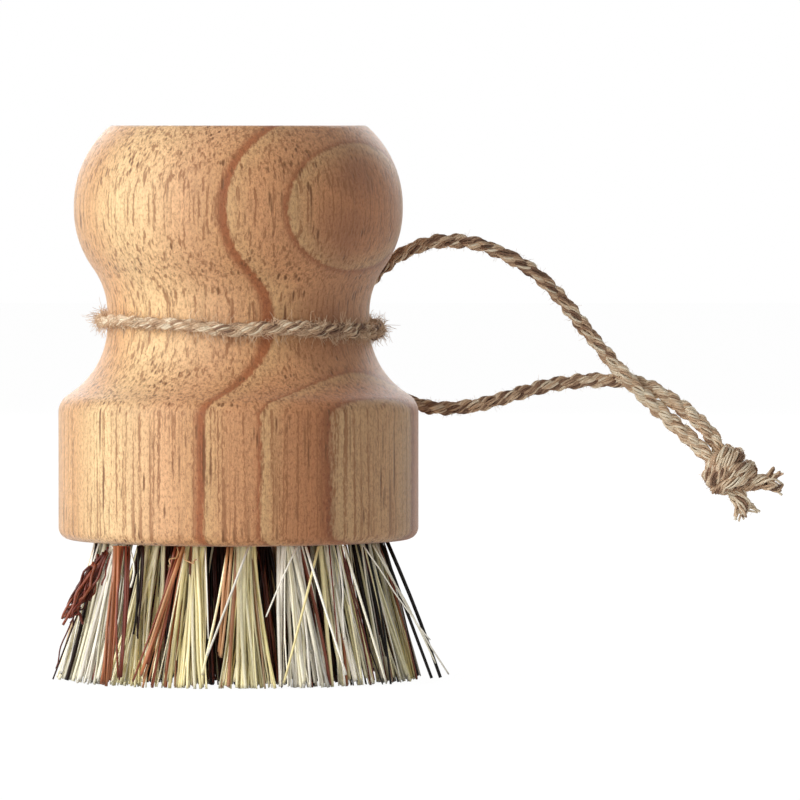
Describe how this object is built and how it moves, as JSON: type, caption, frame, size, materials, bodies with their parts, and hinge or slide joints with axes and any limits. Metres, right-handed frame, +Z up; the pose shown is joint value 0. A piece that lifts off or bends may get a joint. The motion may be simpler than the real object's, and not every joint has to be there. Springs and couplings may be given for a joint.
{
  "type": "palm brush",
  "caption": "Round palm brush with a turned wooden knob handle, splayed plant-fibre bristles and a jute hanging loop tied round its neck.",
  "frame": {"origin": "centre of the bristle-tip plane, on the handle's turning axis", "axes": "+Z up along the turning axis, from the bristle tips to the flat top; +X to the side where the hanging loop stands out; +Y to the back, the side of the half-knot"},
  "size_m": [0.1194, 0.0614, 0.0885],
  "materials": {
    "handle_wood": "turned and sanded pale hardwood, unvarnished, with reddish growth rings",
    "bristle_fibre": "mixed plant fibre: cream, grey-white, orange-brown and dark brown, matt",
    "anchor_wire": "bright galvanised wire",
    "jute_twine": "two-ply twisted natural jute, hairy"
  },
  "bodies": {
    "brush": {"handle": "handle_wood", "tuft_centre": "bristle_fibre", "tuft_inner_1": "bristle_fibre", "tuft_inner_2": "bristle_fibre", "tuft_inner_3": "bristle_fibre", "tuft_inner_4": "bristle_fibre", "tuft_inner_5": "bristle_fibre", "tuft_inner_6": "bristle_fibre", "tuft_middle_1": "bristle_fibre", "tuft_middle_2": "bristle_fibre", "tuft_middle_3": "bristle_fibre", "tuft_middle_4": "bristle_fibre", "tuft_middle_5": "bristle_fibre", "tuft_middle_6": "bristle_fibre", "tuft_middle_7": "bristle_fibre", "tuft_middle_8": "bristle_fibre", "tuft_middle_9": "bristle_fibre", "tuft_middle_10": "bristle_fibre", "tuft_middle_11": "bristle_fibre", "tuft_middle_12": "bristle_fibre", "tuft_outer_1": "bristle_fibre", "tuft_outer_2": "bristle_fibre", "tuft_outer_3": "bristle_fibre", "tuft_outer_4": "bristle_fibre", "tuft_outer_5": "bristle_fibre", "tuft_outer_6": "bristle_fibre", "tuft_outer_7": "bristle_fibre", "tuft_outer_8": "bristle_fibre", "tuft_outer_9": "bristle_fibre", "tuft_outer_10": "bristle_fibre", "tuft_outer_11": "bristle_fibre", "tuft_outer_12": "bristle_fibre", "tuft_outer_13": "bristle_fibre", "tuft_outer_14": "bristle_fibre", "tuft_outer_15": "bristle_fibre", "tuft_outer_16": "bristle_fibre", "tuft_outer_17": "bristle_fibre", "tuft_outer_18": "bristle_fibre", "anchors_centre": "anchor_wire", "anchors_inner": "anchor_wire", "anchors_middle": "anchor_wire", "anchors_outer": "anchor_wire"},
    "twine": {"twine_neck_turn": "jute_twine", "twine_half_knot": "jute_twine", "twine_upper_strand": "jute_twine", "twine_lower_strand": "jute_twine", "twine_end_knot": "jute_twine", "twine_long_tail": "jute_twine", "twine_short_tail": "jute_twine"}
  },
  "joints": [
    {"name": "twine_round_neck", "type": "hinge", "parent": "brush", "child": "twine", "pos_m": [0, 0, 0.0568], "axis": [0, 0, 1], "continuous": true}
  ]
}
